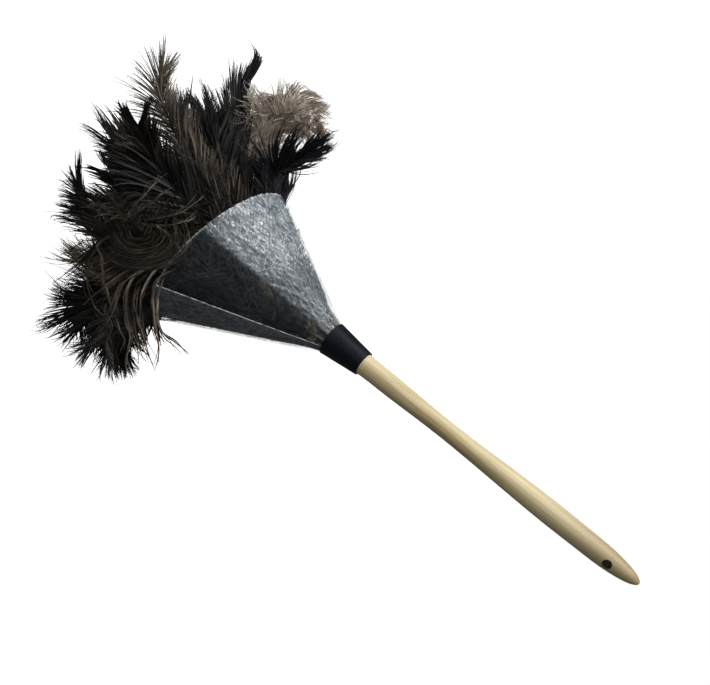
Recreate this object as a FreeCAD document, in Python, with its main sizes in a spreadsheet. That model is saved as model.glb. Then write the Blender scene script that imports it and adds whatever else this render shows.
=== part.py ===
import FreeCAD, Part
import math
import os

import Sketcher

# Ostrich feather duster, hung by the hole in its handle.
# Origin: centre of the hanging hole.  +Z runs up the handle to its butt, +Y runs along the hole,
# and the feathers hang down along -Z.  Millimetres throughout.

# ---------------------------------------------------------------- driving dimensions
# Handle stations: height along the axis and turned radius, from the butt down to the shoulder
# that wedges inside the collar.
HANDLE_STATIONS = [
    ("tip", 26.7, 1.0),
    ("nose", 24.6, 2.9),
    ("upper_nose", 19.0, 5.2),
    ("lower_nose", 9.0, 7.2),
    ("hole", 0.0, 8.25),
    ("neck", -26.0, 9.1),
    ("swell", -52.0, 9.45),
    ("below_swell", -86.0, 9.0),
    ("upper_waist", -116.0, 8.2),
    ("waist", -152.0, 7.5),
    ("lower_waist", -186.0, 8.0),
    ("flare", -214.0, 8.75),
    ("collar_edge", -242.5, 9.35),
    ("shoulder", -251.0, 10.3),
]

SIZES = {
    # handle
    "hole_radius": 3.6,
    "spigot_radius": 3.9,
    "spigot_end": 276.0,
    # collar, a tapered black sleeve
    "collar_top": 242.5,
    "collar_mouth": 277.3,
    "collar_top_radius": 10.7,
    "collar_mouth_radius": 14.85,
    "collar_wall": 1.2,
    "collar_rounding": 0.5,
    "collar_lap_height": 0.5,
    "collar_lap_angle": 46.0,
    "collar_lap_azimuth": 210.0,
    # guard, clear film rolled into a cone
    "film": 0.35,
    "film_gap": 0.06,
    "neck_start": 265.0,
    "rim_height": 396.1,
    "rim_radius": 71.9,
    "rim_skew": 8.1,
    "rim_skew_azimuth": -22.0,
    "rim_spare": 16.0,
    "film_lap_angle": 60.0,
    "film_lap_azimuth": -38.0,
    # feathers
    "quill_thickness": 1.2,
    "quill_half_width": 1.1,
    "root_bend_radius": 30.0,
    "root_bend_height": 272.0,
    "trim_radius": 400.0,
    "tip_trim": 1.5,
    # twine
    "twine": 0.6,
    "twine_pitch": 0.55,
    "twine_turns": 7,
}

# One row per ring of feathers, from the middle of the bundle outwards.
# ring: radius of the quill's inner face inside the collar; root: depth of its upper end;
# lean: angle from the axis outside the collar; straight: length of the leaning run;
# curl and sweep: radius and angle of the curl that follows; vane and half_width: where the
# vane starts and its half width, both seen along the axis; uneven: how far the curls differ.
RING_FIELDS = (
    "count", "ring", "root", "lean", "straight", "curl", "sweep", "vane", "half_width", "uneven",
)
RINGS = {
    "core": (5, 4.0, 253.0, 4.0, 231.0, 150.0, 25.0, 8.0, 13.0, 0.08),
    "inner": (8, 5.95, 254.0, 10.0, 190.0, 190.0, 30.0, 14.0, 24.0, 0.08),
    "middle": (10, 7.9, 255.0, 18.0, 158.0, 120.0, 53.0, 24.0, 28.0, 0.07),
    "outer": (12, 9.85, 257.0, 24.5, 121.0, 58.0, 95.0, 34.0, 29.0, 0.06),
}

TWINE_TOP = {"core": 259.0, "inner": 261.0, "middle": 263.0, "outer": 268.5}


def fill_sheet(doc):
    """Write every driving dimension to the spreadsheet, one aliased cell each."""
    sheet = doc.addObject("Spreadsheet::Sheet", "Sizes")
    rows = list(SIZES.items())
    for station, height, radius in HANDLE_STATIONS:
        rows.append(("turned_%s_height" % station, height))
        rows.append(("turned_%s_radius" % station, radius))
    for ring, values in RINGS.items():
        rows += [(ring + "_" + field, value) for field, value in zip(RING_FIELDS, values)]
        rows.append((ring + "_twine_top", TWINE_TOP[ring]))
    for row, (alias, value) in enumerate(rows, start=1):
        sheet.set("A%d" % row, alias)
        sheet.set("B%d" % row, str(value))
        sheet.setAlias("B%d" % row, alias)
    doc.recompute()
    return sheet


# ---------------------------------------------------------------- helpers
def new_body(doc, name):
    body = doc.addObject("PartDesign::Body", name)
    body.Label = name
    return body


def new_sketch(body, role, name):
    """A sketch on one of the body's own origin planes, XZ_Plane or XY_Plane."""
    sketch = body.newObject("Sketcher::SketchObject", name)
    plane = [item for item in body.Origin.OriginFeatures if item.Role == role][0]
    sketch.AttachmentSupport = [(plane, "")]
    sketch.MapMode = "FlatFace"
    return sketch


def bind(sketch, kind, elements, value, expression=None):
    """Add a dimension to a sketch and tie it to the spreadsheet."""
    index = sketch.addConstraint(Sketcher.Constraint(kind, *elements, value))
    if expression:
        sketch.setExpression("Constraints[%d]" % index, expression)


def join(sketch, kind, *elements):
    sketch.addConstraint(Sketcher.Constraint(kind, *elements))


def polygon(sketch, corners, expressions):
    """A closed outline whose corners are held by their distances from the two axes."""
    points = [FreeCAD.Vector(x, y, 0) for x, y in corners]
    edges = [
        Part.LineSegment(start, end)
        for start, end in zip(points, points[1:] + points[:1])
    ]
    first = sketch.addGeometry(edges, False)[0]
    last = first + len(edges) - 1
    for edge in range(first, last):
        join(sketch, "Coincident", edge, 2, edge + 1, 1)
    join(sketch, "Coincident", last, 2, first, 1)
    for edge, ((x, y), (x_expression, y_expression)) in enumerate(zip(corners, expressions)):
        bind(sketch, "DistanceX", (-1, 1, first + edge, 1), x, x_expression)
        bind(sketch, "DistanceY", (-1, 1, first + edge, 1), y, y_expression)


def revolve(body, sketch, name, angle=None):
    """Turn a sketch about Z, all the way round or through a sector centred on its plane."""
    turned = body.newObject("PartDesign::Revolution", name)
    turned.Profile = sketch
    turned.ReferenceAxis = (sketch, ["V_Axis"])
    turned.Midplane = angle is not None
    turned.Angle = 360.0
    if angle:
        turned.setExpression("Angle", angle)
    return turned


# ---------------------------------------------------------------- handle
def make_handle(doc):
    """Turned wooden handle: a loft through its turned stations, a spigot and the hanging hole."""
    circles = []
    for station, height, radius in HANDLE_STATIONS:
        circle = doc.addObject("Part::Circle", "handle_" + station)
        circle.setExpression("Radius", "Sizes.turned_%s_radius" % station)
        circle.setExpression("Placement.Base.z", "Sizes.turned_%s_height" % station)
        circles.append(circle)
    turned = doc.addObject("Part::Loft", "handle_turned")
    turned.Sections = circles
    turned.Solid = True
    turned.Ruled = False

    spigot = doc.addObject("Part::Cylinder", "handle_spigot")
    spigot.setExpression("Radius", "Sizes.spigot_radius")
    spigot.setExpression("Height", "Sizes.spigot_end + Sizes.turned_shoulder_height + 1")
    spigot.setExpression("Placement.Base.z", "-Sizes.spigot_end")
    blank = doc.addObject("Part::Fuse", "handle_blank")
    blank.Base = turned
    blank.Tool = spigot

    drill = doc.addObject("Part::Cylinder", "hanging_drill")
    drill.setExpression("Radius", "Sizes.hole_radius")
    drill.setExpression("Height", "4 * Sizes.turned_swell_radius")
    drill.Placement = FreeCAD.Placement(
        FreeCAD.Vector(0, 0, 0), FreeCAD.Rotation(FreeCAD.Vector(1, 0, 0), -90)
    )
    drill.setExpression("Placement.Base.y", "-2 * Sizes.turned_swell_radius")
    handle = doc.addObject("Part::Cut", "handle")
    handle.Base = blank
    handle.Tool = drill
    handle.Label = "handle"
    return handle


# ---------------------------------------------------------------- collar
def make_collar(doc, size):
    """Tapered sleeve that grips the film and the quills, with a raised lap down one side."""
    body = new_body(doc, "collar")
    top, mouth = -size("collar_top"), -size("collar_mouth")
    top_radius, mouth_radius = size("collar_top_radius"), size("collar_mouth_radius")
    wall = size("collar_wall")
    sleeve = new_sketch(body, "XZ_Plane", "collar_profile")
    polygon(
        sleeve,
        [(top_radius, top), (mouth_radius, mouth), (mouth_radius - wall, mouth),
         (top_radius - wall, top)],
        [("Sizes.collar_top_radius", "-Sizes.collar_top"),
         ("Sizes.collar_mouth_radius", "-Sizes.collar_mouth"),
         ("Sizes.collar_mouth_radius - Sizes.collar_wall", "-Sizes.collar_mouth"),
         ("Sizes.collar_top_radius - Sizes.collar_wall", "-Sizes.collar_top")],
    )
    revolve(body, sleeve, "collar_sleeve")
    lap_height = size("collar_lap_height")
    lap = new_sketch(body, "XZ_Plane", "collar_lap_profile")
    polygon(
        lap,
        [(top_radius + lap_height, top), (mouth_radius + lap_height, mouth),
         (mouth_radius - wall / 2, mouth), (top_radius - wall / 2, top)],
        [("Sizes.collar_top_radius + Sizes.collar_lap_height", "-Sizes.collar_top"),
         ("Sizes.collar_mouth_radius + Sizes.collar_lap_height", "-Sizes.collar_mouth"),
         ("Sizes.collar_mouth_radius - Sizes.collar_wall / 2", "-Sizes.collar_mouth"),
         ("Sizes.collar_top_radius - Sizes.collar_wall / 2", "-Sizes.collar_top")],
    )
    lapped = revolve(body, lap, "collar_lap", "Sizes.collar_lap_angle * 1 deg")
    doc.recompute()
    round_top(body, lapped, top)
    body.Placement = FreeCAD.Placement(
        FreeCAD.Vector(0, 0, 0),
        FreeCAD.Rotation(FreeCAD.Vector(0, 0, 1), size("collar_lap_azimuth")),
    )
    return body


def round_top(body, feature, top):
    """Round the outer edges of the collar's small end."""
    outer = []
    for index, edge in enumerate(feature.Shape.Edges, start=1):
        box = edge.BoundBox
        flat = abs(box.ZMax - top) < 1e-4 and abs(box.ZMin - top) < 1e-4
        if flat and isinstance(edge.Curve, Part.Circle):
            outer.append((edge.Curve.Radius, "Edge%d" % index))
    inner_radius = min(radius for radius, _ in outer)
    fillet = body.newObject("PartDesign::Fillet", "collar_rounding")
    fillet.Base = (feature, [name for radius, name in outer if radius > inner_radius + 0.5])
    fillet.setExpression("Radius", "Sizes.collar_rounding")


# ---------------------------------------------------------------- guard
def film_profile(body, size, name, offset_expression, offset):
    """Half section of one thickness of film: a neck inside the collar, then the cone."""
    slope_expression = (
        "(Sizes.rim_radius - Sizes.collar_mouth_radius + Sizes.collar_wall + Sizes.film_gap)"
        " / (Sizes.rim_height - Sizes.collar_mouth)"
    )
    mouth_expression = "Sizes.collar_mouth_radius - Sizes.collar_wall - Sizes.film_gap"
    taper_expression = (
        "(Sizes.collar_mouth_radius - Sizes.collar_top_radius)"
        " / (Sizes.collar_mouth - Sizes.collar_top) * (Sizes.collar_mouth - Sizes.neck_start)"
    )
    mouth = size("collar_mouth_radius") - size("collar_wall") - size("film_gap")
    slope = (size("rim_radius") - mouth) / (size("rim_height") - size("collar_mouth"))
    taper = (
        (size("collar_mouth_radius") - size("collar_top_radius"))
        / (size("collar_mouth") - size("collar_top"))
        * (size("collar_mouth") - size("neck_start"))
    )
    film, spare = size("film"), size("rim_spare")
    rim_z = -size("rim_height") - spare
    rim_x = mouth + slope * (size("rim_height") + spare - size("collar_mouth"))
    rim_expression = "%s + (%s) * (Sizes.rim_height + Sizes.rim_spare - Sizes.collar_mouth)" % (
        mouth_expression, slope_expression,
    )
    outer = [(mouth - taper, -size("neck_start")), (mouth, -size("collar_mouth")), (rim_x, rim_z)]
    outer_expressions = [
        ("%s - %s" % (mouth_expression, taper_expression), "-Sizes.neck_start"),
        (mouth_expression, "-Sizes.collar_mouth"),
        (rim_expression, "-Sizes.rim_height - Sizes.rim_spare"),
    ]
    corners = [(x + offset, z) for x, z in outer]
    corners += [(x + offset - film, z) for x, z in reversed(outer)]
    expressions = [("%s + %s" % (x, offset_expression), z) for x, z in outer_expressions]
    expressions += [
        ("%s + %s - Sizes.film" % (x, offset_expression), z)
        for x, z in reversed(outer_expressions)
    ]
    sketch = new_sketch(body, "XZ_Plane", name)
    polygon(sketch, corners, expressions)
    return sketch


def make_guard(doc, size):
    """Cone of rolled film with an overlapped seam and a rim that isn't cut square."""
    body = new_body(doc, "guard_sheet")
    single = film_profile(body, size, "film_section", "0", 0.0)
    revolve(body, single, "film_cone")
    double = film_profile(body, size, "film_lap_section", "(-Sizes.film)", -size("film"))
    revolve(body, double, "film_lap", "Sizes.film_lap_angle * 1 deg")
    turn = FreeCAD.Rotation(FreeCAD.Vector(0, 0, 1), size("film_lap_azimuth"))
    body.Placement = FreeCAD.Placement(FreeCAD.Vector(0, 0, 0), turn)

    cutter = doc.addObject("Part::Box", "rim_cutter")
    side = 4 * size("rim_radius")
    cutter.setExpression("Length", "4 * Sizes.rim_radius")
    cutter.setExpression("Width", "4 * Sizes.rim_radius")
    cutter.setExpression("Height", "Sizes.rim_radius")
    tilt = FreeCAD.Rotation(FreeCAD.Vector(0, 0, 1), size("rim_skew_azimuth")).multiply(
        FreeCAD.Rotation(FreeCAD.Vector(0, 1, 0), size("rim_skew"))
    )
    corner = tilt.multVec(FreeCAD.Vector(-side / 2, -side / 2, -size("rim_radius")))
    cutter.Placement = FreeCAD.Placement(
        corner + FreeCAD.Vector(0, 0, -size("rim_height")), tilt
    )
    guard = doc.addObject("Part::Cut", "guard")
    guard.Base = body
    guard.Tool = cutter
    body.Label = "guard_film_uncut"
    guard.Label = "guard_sheet"
    return guard


# ---------------------------------------------------------------- twine
def make_binding(doc, size, ring):
    """A few tight turns of twine round one ring of quills."""
    body = new_body(doc, "binding_" + ring)
    sketch = new_sketch(body, "XZ_Plane", "twine_section_" + ring)
    radius = size("twine") / 2
    lay = size(ring + "_ring") + size("quill_thickness") + 0.05 + radius
    circle = Part.Circle(
        FreeCAD.Vector(lay, -size(ring + "_twine_top"), 0), FreeCAD.Vector(0, 0, 1), radius
    )
    turn = sketch.addGeometry(circle, False)
    bind(sketch, "Radius", (turn,), radius, "Sizes.twine / 2")
    bind(
        sketch, "DistanceX", (-1, 1, turn, 3), lay,
        "Sizes.%s_ring + Sizes.quill_thickness + 0.05 + Sizes.twine / 2" % ring,
    )
    bind(
        sketch, "DistanceY", (-1, 1, turn, 3), -size(ring + "_twine_top"),
        "-Sizes.%s_twine_top" % ring,
    )
    first_turn = revolve(body, sketch, "twine_turn_" + ring)
    doc.recompute()
    pattern = body.newObject("PartDesign::LinearPattern", "twine_turns_" + ring)
    pattern.Originals = [first_turn]
    pattern.Direction = (sketch, ["V_Axis"])
    pattern.Reversed = True
    pattern.setExpression("Occurrences", "Sizes.twine_turns")
    pattern.setExpression("Length", "Sizes.twine_pitch * (Sizes.twine_turns - 1)")
    body.Tip = pattern
    return body


# ---------------------------------------------------------------- feathers
def side_path(start, bend_radius, lean, straight, curl_radius, sweep, top):
    """One face of a feather seen from the side: down, bend out, lean, curl out."""
    x, bend_z = start
    bend_centre = FreeCAD.Vector(x + bend_radius, bend_z, 0)
    bend = Part.ArcOfCircle(
        Part.Circle(bend_centre, FreeCAD.Vector(0, 0, 1), bend_radius),
        math.pi, math.pi + lean,
    )
    along = FreeCAD.Vector(math.sin(lean), -math.cos(lean), 0)
    outward = FreeCAD.Vector(math.cos(lean), math.sin(lean), 0)
    bend_end = bend_centre - outward * bend_radius
    lean_end = bend_end + along * straight
    curl_centre = lean_end + outward * curl_radius
    curl = Part.ArcOfCircle(
        Part.Circle(curl_centre, FreeCAD.Vector(0, 0, 1), curl_radius),
        math.pi + lean, math.pi + lean + sweep,
    )
    upright = Part.LineSegment(FreeCAD.Vector(x, top, 0), FreeCAD.Vector(x, bend_z, 0))
    leaning = Part.LineSegment(bend_end, lean_end)
    return [upright, bend, leaning, curl]


def feather_side(sketch, size, ring, sweep_factor):
    """Closed side section of a feather: two parallel faces joined by a cap at each end."""
    thickness = size("quill_thickness")
    lean, sweep = math.radians(size(ring + "_lean")), math.radians(size(ring + "_sweep"))
    sweep *= sweep_factor
    top, bend_z = -size(ring + "_root"), -size("root_bend_height")
    inner_x = size(ring + "_ring")
    bend, curl = size("root_bend_radius"), size(ring + "_curl")
    straight = size(ring + "_straight")
    outer = side_path((inner_x + thickness, bend_z), bend, lean, straight, curl, sweep, top)
    inner = side_path(
        (inner_x, bend_z), bend + thickness, lean, straight, curl + thickness, sweep, top
    )
    sketch.addGeometry(outer + inner, False)
    root_cap = Part.LineSegment(inner[0].StartPoint, outer[0].StartPoint)
    tip_cap = Part.LineSegment(inner[3].EndPoint, outer[3].EndPoint)
    sketch.addGeometry([root_cap, tip_cap], False)

    # Faces: 0 to 3 are the outer face and 4 to 7 the inner one, each upright, bend, lean, curl.
    for face in (0, 4):
        for piece in range(3):
            join(sketch, "Tangent", face + piece, 2, face + piece + 1, 1)
        join(sketch, "Vertical", face)
    join(sketch, "Coincident", 1, 3, 5, 3)
    join(sketch, "Coincident", 3, 3, 7, 3)
    join(sketch, "Parallel", 2, 6)
    join(sketch, "Coincident", 8, 1, 4, 1)
    join(sketch, "Coincident", 8, 2, 0, 1)
    join(sketch, "Coincident", 9, 1, 7, 2)
    join(sketch, "Coincident", 9, 2, 3, 2)
    join(sketch, "Horizontal", 8)
    join(sketch, "PointOnObject", 3, 3, 9)
    bind(sketch, "DistanceX", (-1, 1, 4, 1), inner_x, "Sizes.%s_ring" % ring)
    bind(sketch, "DistanceY", (-1, 1, 4, 1), top, "-Sizes.%s_root" % ring)
    bind(sketch, "DistanceY", (-1, 1, 4, 2), bend_z, "-Sizes.root_bend_height")
    bind(sketch, "Distance", (8,), thickness, "Sizes.quill_thickness")
    bind(sketch, "Radius", (1,), bend, "Sizes.root_bend_radius")
    bind(sketch, "Angle", (1,), lean, "Sizes.%s_lean * 1 deg" % ring)
    bind(sketch, "Distance", (2,), straight, "Sizes.%s_straight" % ring)
    bind(sketch, "Radius", (3,), curl, "Sizes.%s_curl" % ring)
    bind(
        sketch, "Angle", (3,), sweep,
        "Sizes.%s_sweep * %.4f * 1 deg" % (ring, sweep_factor),
    )


def feather_reach(size, ring, sweep_factor):
    """Distance of a feather's tip, or of its furthest point, from the axis."""
    lean, sweep = math.radians(size(ring + "_lean")), math.radians(size(ring + "_sweep"))
    turned = min(lean + sweep * sweep_factor, math.pi)
    bend, curl = size("root_bend_radius"), size(ring + "_curl")
    reach = size(ring + "_ring") + size("quill_thickness")
    reach += bend * (1 - math.cos(lean)) + size(ring + "_straight") * math.sin(lean)
    return reach + curl * (math.cos(lean) - math.cos(turned))


def feather_outline(sketch, size, ring, reach):
    """Plan of a feather seen along the axis, a quill and a teardrop vane, inside a trim circle."""
    quill = size("quill_half_width")
    vane, half_width = size(ring + "_vane"), size(ring + "_half_width")
    centre = FreeCAD.Vector(reach - size("tip_trim") - half_width, 0, 0)
    gap = math.hypot(centre.x - vane, quill)
    touch = math.atan2(quill, vane - centre.x) - math.acos(half_width / gap)
    contact = centre + FreeCAD.Vector(math.cos(touch), math.sin(touch), 0) * half_width
    mirrored = FreeCAD.Vector(contact.x, -contact.y, 0)
    tip = Part.ArcOfCircle(
        Part.Circle(centre, FreeCAD.Vector(0, 0, 1), half_width), -touch, touch
    )
    corner = [FreeCAD.Vector(x, y, 0) for x, y in ((0, quill), (vane, quill))]
    below = [FreeCAD.Vector(point.x, -point.y, 0) for point in corner]
    edges = [
        Part.LineSegment(corner[0], below[0]),
        Part.LineSegment(below[0], below[1]),
        Part.LineSegment(below[1], mirrored),
        tip,
        Part.LineSegment(contact, corner[1]),
        Part.LineSegment(corner[1], corner[0]),
    ]
    sketch.addGeometry(edges, False)
    join(sketch, "Coincident", 0, 2, 1, 1)
    join(sketch, "Coincident", 1, 2, 2, 1)
    join(sketch, "Tangent", 2, 2, 3, 1)
    join(sketch, "Tangent", 3, 2, 4, 1)
    join(sketch, "Coincident", 4, 2, 5, 1)
    join(sketch, "Coincident", 5, 2, 0, 1)
    join(sketch, "Vertical", 0)
    join(sketch, "Horizontal", 1)
    join(sketch, "Horizontal", 5)
    join(sketch, "Equal", 1, 5)
    join(sketch, "PointOnObject", 0, 1, -2)
    join(sketch, "PointOnObject", 3, 3, -1)
    bind(sketch, "DistanceY", (-1, 1, 0, 1), quill, "Sizes.quill_half_width")
    bind(sketch, "Distance", (0,), 2 * quill, "2 * Sizes.quill_half_width")
    bind(sketch, "Distance", (1,), vane, "Sizes.%s_vane" % ring)
    bind(sketch, "Radius", (3,), half_width, "Sizes.%s_half_width" % ring)
    bind(sketch, "DistanceX", (-1, 1, 3, 3), centre.x)
    circle = Part.Circle(
        FreeCAD.Vector(0, 0, 0), FreeCAD.Vector(0, 0, 1), size("trim_radius")
    )
    trim = sketch.addGeometry(circle, False)
    join(sketch, "Coincident", trim, 3, -1, 1)
    bind(sketch, "Radius", (trim,), size("trim_radius"), "Sizes.trim_radius")


def make_feather(doc, size, ring, number):
    """One feather: a curved blade turned through its share of the ring, trimmed to a leaf."""
    name = "feather_%s_%02d" % (ring, number + 1)
    count = int(size(ring + "_count"))
    body = new_body(doc, name)
    wave = math.cos(2.4 * number + len(ring))
    sweep_factor = 1 + size(ring + "_uneven") * wave
    side = new_sketch(body, "XZ_Plane", name + "_side")
    feather_side(side, size, ring, sweep_factor)
    blade = revolve(body, side, name + "_blade", "(360 / Sizes.%s_count - 1.5) * 1 deg" % ring)
    doc.recompute()
    uncut = blade.Shape.Volume
    outline = new_sketch(body, "XY_Plane", name + "_outline")
    feather_outline(outline, size, ring, feather_reach(size, ring, sweep_factor))
    trim = body.newObject("PartDesign::Pocket", name + "_leaf")
    trim.Profile = outline
    trim.Type = "ThroughAll"
    trim.Midplane = True
    doc.recompute()
    if not trim.Shape.Volume < uncut * 0.98:
        raise RuntimeError(name + ": the leaf outline trimmed nothing")
    offset = 0.5 * (list(RINGS).index(ring) % 2)
    azimuth = 360.0 / count * (number + offset)
    body.Placement = FreeCAD.Placement(
        FreeCAD.Vector(0, 0, 0), FreeCAD.Rotation(FreeCAD.Vector(0, 0, 1), azimuth)
    )
    return body


# ---------------------------------------------------------------- the duster
def main():
    doc = FreeCAD.newDocument("feather_duster")
    sheet = fill_sheet(doc)

    def size(alias):
        return float(sheet.get(alias))

    pieces = [make_handle(doc), make_collar(doc, size), make_guard(doc, size)]
    for ring in RINGS:
        pieces.append(make_binding(doc, size, ring))
        for number in range(int(size(ring + "_count"))):
            pieces.append(make_feather(doc, size, ring, number))
    doc.recompute()

    for item in doc.Objects:
        if {"Invalid", "Error"} & set(item.State):
            raise RuntimeError("%s failed: %s" % (item.Name, item.State))
    for piece in pieces:
        if piece.Shape.isNull() or not piece.Shape.isValid() or not piece.Shape.Solids:
            raise RuntimeError(piece.Label + " has no valid solid")

    os.makedirs("parts", exist_ok=True)
    for piece in pieces:
        piece.Shape.exportStep("parts/%s.step" % piece.Label)
        box = piece.Shape.optimalBoundingBox(False)
        print(
            "%-20s %2d solid  %9.1f mm3  x %6.1f %6.1f  z %6.1f %6.1f"
            % (piece.Label, len(piece.Shape.Solids), piece.Shape.Volume,
               box.XMin, box.XMax, box.ZMin, box.ZMax)
        )


main()
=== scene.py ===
import math
from dataclasses import dataclass

import bpy
import numpy as np
from mathutils import Matrix, Vector


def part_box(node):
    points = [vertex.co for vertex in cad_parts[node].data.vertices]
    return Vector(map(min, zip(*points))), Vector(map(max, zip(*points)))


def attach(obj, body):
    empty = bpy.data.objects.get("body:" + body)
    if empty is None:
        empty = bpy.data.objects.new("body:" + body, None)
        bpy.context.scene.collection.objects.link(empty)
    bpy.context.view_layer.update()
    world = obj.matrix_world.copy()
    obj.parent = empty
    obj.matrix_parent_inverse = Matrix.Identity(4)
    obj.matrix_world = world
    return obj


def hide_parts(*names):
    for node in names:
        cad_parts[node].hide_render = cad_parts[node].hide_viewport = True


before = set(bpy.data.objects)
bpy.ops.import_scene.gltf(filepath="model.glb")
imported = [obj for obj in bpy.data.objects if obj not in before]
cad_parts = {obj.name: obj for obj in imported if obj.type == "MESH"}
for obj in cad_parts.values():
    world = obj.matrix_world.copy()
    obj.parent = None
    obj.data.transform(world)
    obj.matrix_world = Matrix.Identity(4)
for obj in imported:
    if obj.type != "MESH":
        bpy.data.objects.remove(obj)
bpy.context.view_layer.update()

# An ostrich feather duster hung by the hole in its handle.  The origin is the hole, +Z runs up
# the handle and the plumes hang along -Z.  Everything is in metres.
# The head is laid out as it is seen by the camera, X across, -Y towards it, and then turned about
# Z by HEAD_TURN, because the hanging hole doesn't face the camera.

MM = 0.001
SEED = 20
HEAD_TURN = math.radians(-27)

# ---- sizes that match the CAD
collar_low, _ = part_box("collar")
MOUTH_Z = collar_low.z           # the collar's wide end, where the film and plumes come out
NECK_RADIUS = 13.6 * MM          # film where it leaves the collar
COLLAR_TAPER = 4.15 / 34.8       # radius the collar loses per length, going up
RIM_SKEW = math.radians(8.1)     # tilt of the film's rim
RIM_Z = -396.1 * MM              # height of the rim's middle
RIM_RADIUS = 71.9 * MM
FILM_SLOPE = (RIM_RADIUS - NECK_RADIUS) / (MOUTH_Z - RIM_Z)
ROOT_Z = -256 * MM               # upper ends of the quills, about where the CAD's are
HOLE_RADIUS = 3.6 * MM

# ---- room that plumes keep to
# Far-flung tips are eased back between each pair of sizes, so that the head keeps its size.
HEAD_EASE, HEAD_RADIUS = 140 * MM, 158 * MM
HEAD_LOW_EASE, HEAD_LOW = -562 * MM, -586 * MM
COLLAR_BORE = 11.4 * MM          # radius left to barbs inside the collar
COLLAR_LIP = 4 * MM              # they keep to it this far below the mouth as well
UNDER_FILM = 1.8 * MM            # gap between the film and barbs inside it
OVER_FILM = 3 * MM               # gap between the film and barbs outside it
LEAST_ROOM = 3 * MM
# The way loose barbs hang: the duster is held with its plumes to one side.
HANG = np.array([0.784, 0.0, 0.621])

# ---- places in the bake
BAKE_UV = "OFBake"
BAKE_EDGE, BAKE_SPAN = 0.01, 0.98    # along a strip: first place, and its length
BARB_ROWS = 0.94                 # height given to a plume's barbs; its quill is above them
QUILL_ROW, QUILL_HEIGHT, QUILL_CAP_ROW = 0.955, 0.04, 0.97
STRAND_ROWS = 0.96               # height given to strands, where there is no quill


# ---- small helpers
def smooth(x, low, high):
    t = np.clip((x - low) / (high - low), 0.0, 1.0)
    return t * t * (3 - 2 * t)


def unit(v):
    return v / np.maximum(np.linalg.norm(v, axis=-1, keepdims=True), 1e-9)


def turned(points):
    """Turn points laid out for the camera into the frame's own axes."""
    c, s = math.cos(HEAD_TURN), math.sin(HEAD_TURN)
    x, y, z = points[..., 0], points[..., 1], points[..., 2]
    return np.stack([c * x - s * y, s * x + c * y, z], axis=-1)


def film_radius(z):
    """Inner radius of the film cone at a height, whether or not the film reaches it."""
    inner_layer = 0.4 * MM      # the first layer lies about this far inside the cone
    return NECK_RADIUS - inner_layer + FILM_SLOPE * (MOUTH_Z - z)


def rim_height(x):
    """Height of the film's uneven rim above or below a point at this x."""
    return RIM_Z - math.tan(RIM_SKEW) * x


def wander(rng, positions, knots, size):
    """Smooth random vectors along positions from 0 to 1, so that neighbours move together."""
    values = rng.normal(0, size, (knots + 1, 3))
    at = np.clip(positions, 0, 1) * knots
    low = np.minimum(at.astype(int), knots - 1)
    blend = smooth(at - low, 0, 1)[:, None]
    return values[low] * (1 - blend) + values[low + 1] * blend


def curve_through(points, count, samples=30):
    """Evenly spaced points on a smooth curve through listed ones, given in millimetres,
    and the curve's length.  It is a Catmull-Rom spline, sampled between each pair of points."""
    knots = np.array(points, float) * MM
    padded = np.vstack([2 * knots[0] - knots[1], knots, 2 * knots[-1] - knots[-2]])
    t = np.linspace(0, 1, samples, endpoint=False)[:, None]
    runs = []
    for a, b, c, d in zip(padded, padded[1:], padded[2:], padded[3:]):
        runs.append(
            b + 0.5 * (c - a) * t + (a - 2.5 * b + 2 * c - 0.5 * d) * t ** 2
            + 0.5 * (3 * b - a - 3 * c + d) * t ** 3
        )
    dense = np.vstack(runs + [knots[-1:]])
    reach = np.concatenate([[0], np.cumsum(np.linalg.norm(np.diff(dense, axis=0), axis=1))])
    at = np.linspace(0, reach[-1], count)
    return np.stack([np.interp(at, reach, dense[:, k]) for k in range(3)], axis=-1), reach[-1]


# ---- one plume
@dataclass
class Plume:
    """Where a plume grows and how it looks, in degrees, and in metres unless it says so."""

    node: str
    azimuth: float          # the way its flat faces, and the way it leans, from +X
    path: tuple = ()        # or: points of the quill, given in millimetres
    ring: float = 0.0       # or: distance of its quill from the axis inside the collar,
    lean: float = 0.0       # tilt away from the axis where it leaves the collar,
    length: float = 0.0     # length along the quill,
    curl: float = 0.0       # further tilt gained by the tip,
    curl_from: float = 0.45  # and the share of the length where that starts
    side: float = 0.0       # sideways tilt where it leaves the collar
    sway: float = 0.0       # further sideways tilt gained by the tip
    turn: float = 0.0       # how far the flat of the vane is turned about the quill
    vane: float = 0.12      # where the barbs start, as a share of the length
    barb: tuple = (0.054, 0.054)    # longest barbs on either side
    spacing: float = 0.75   # millimetres from barb to barb
    angle: tuple = (62, 22)  # angle of the barbs to the quill, at the start and at the tip
    forward: float = 0.40   # how far barbs sweep towards the tip
    hang: tuple = (0.2, 0.2)    # how far barbs droop on either side
    frizz: float = 0.30     # how far groups of barbs wander off their course
    stray: float = 5        # how far single barbs leave their neighbours' angle
    lock: float = 0.32      # how far barbs draw together into locks
    hook: float = 0.5       # how far their tips bend sideways
    width: float = 0.9      # millimetres across a barb
    fringe: float = 2.3     # millimetres that barbules reach
    fringe_step: float = 1.0    # millimetres from barbule to barbule
    quill: float = 1.0      # how thick the quill is against an ordinary one
    tone: float = 0.30      # about 0 for its darkest shade, 0.75 for its palest
    pale: float = 0.35      # how much paler the barbs are where they start
    colour: str = "feather_dark"


GRIPPED = 0.022             # length of quill held in the collar, in metres
LEAN_FROM, LEAN_TO = 0.6, 2.2   # shares of it over which the quill takes up its lean
CURL_END = 1.35             # the curl would end past the tip, as a share of the length


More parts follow.
